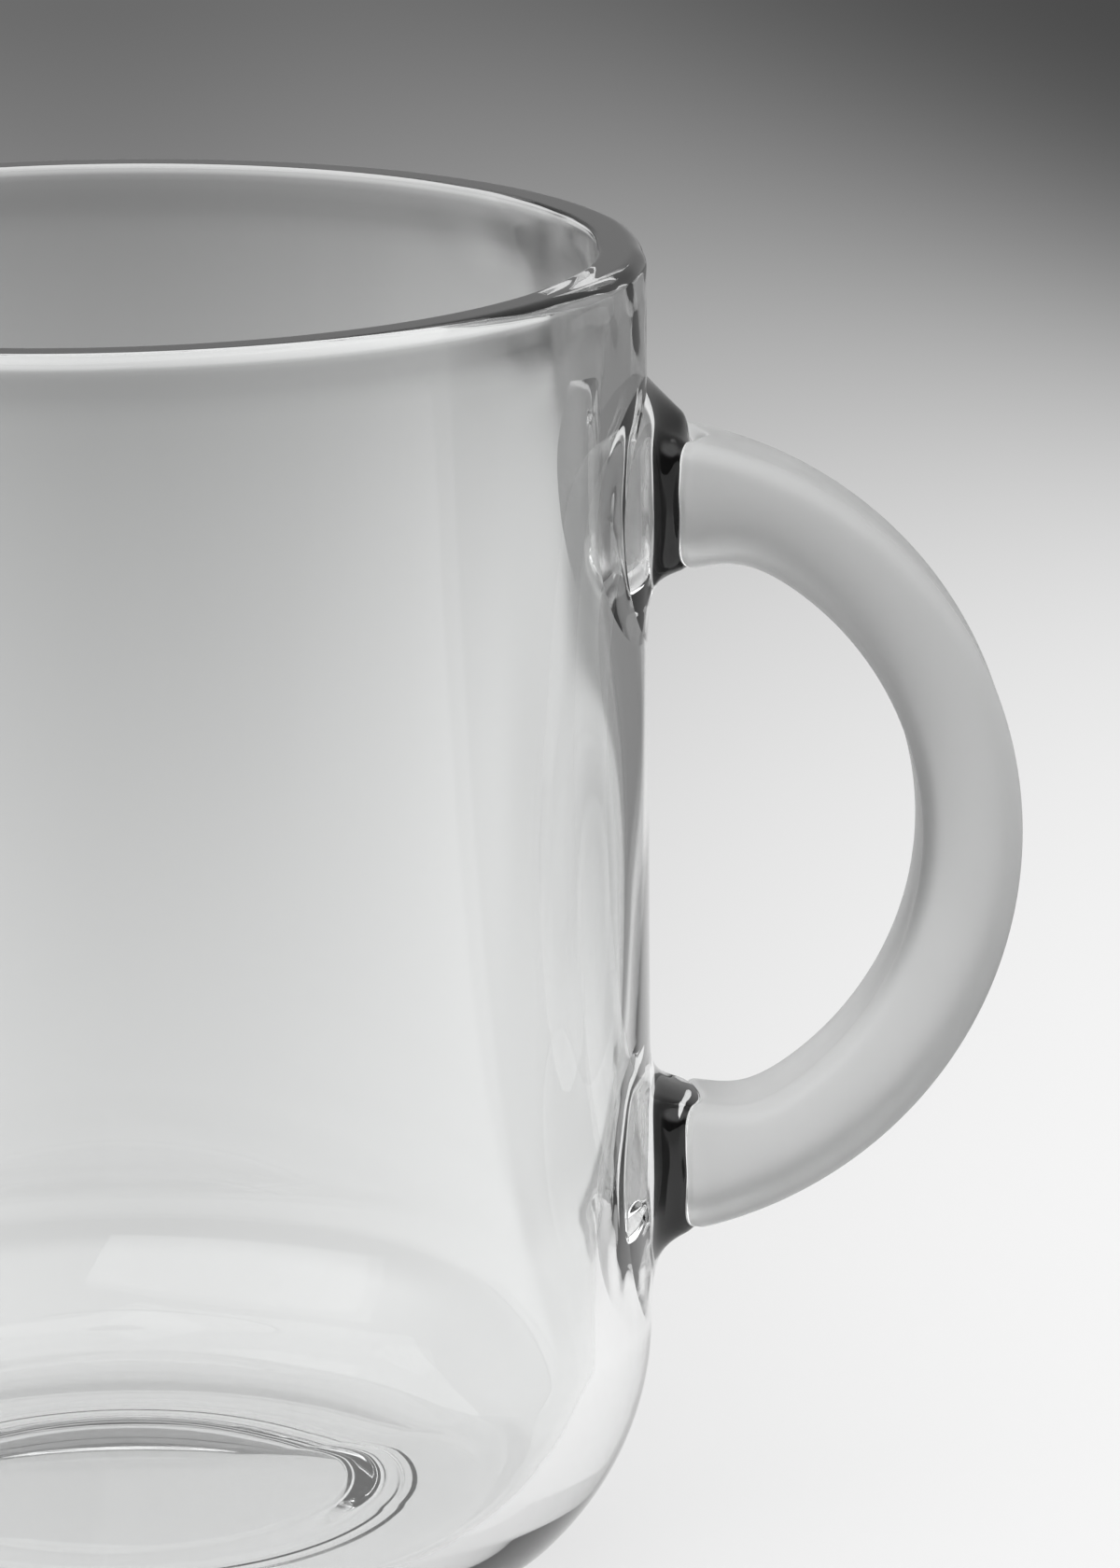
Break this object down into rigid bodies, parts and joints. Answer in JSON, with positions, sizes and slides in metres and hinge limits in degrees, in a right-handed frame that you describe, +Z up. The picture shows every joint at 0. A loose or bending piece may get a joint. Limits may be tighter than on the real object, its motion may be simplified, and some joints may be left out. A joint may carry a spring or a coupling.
{
  "type": "glass coffee mug",
  "caption": "Clear glass coffee mug: straight-sided cup with a round heel, thick floor and narrow foot ring, and a C-shaped bar handle welded to the wall by two glass bosses.",
  "frame": {"origin": "on the foot plane, under the middle of the whole mug's box: the cup's axis is at x = -13.425 mm", "axes": "+Z up along the cup's axis, +X from the cup to the handle, +Y across the handle"},
  "size_m": [0.1068, 0.08, 0.0975],
  "materials": {
    "cup_glass": "clear, colourless, fire-polished",
    "handle_glass": "clear, colourless, pressed and fire-polished"
  },
  "bodies": {
    "root": {"cup_body": "cup_glass", "upper_weld_boss": "handle_glass", "lower_weld_boss": "handle_glass", "handle_bar": "handle_glass"}
  },
  "joints": []
}
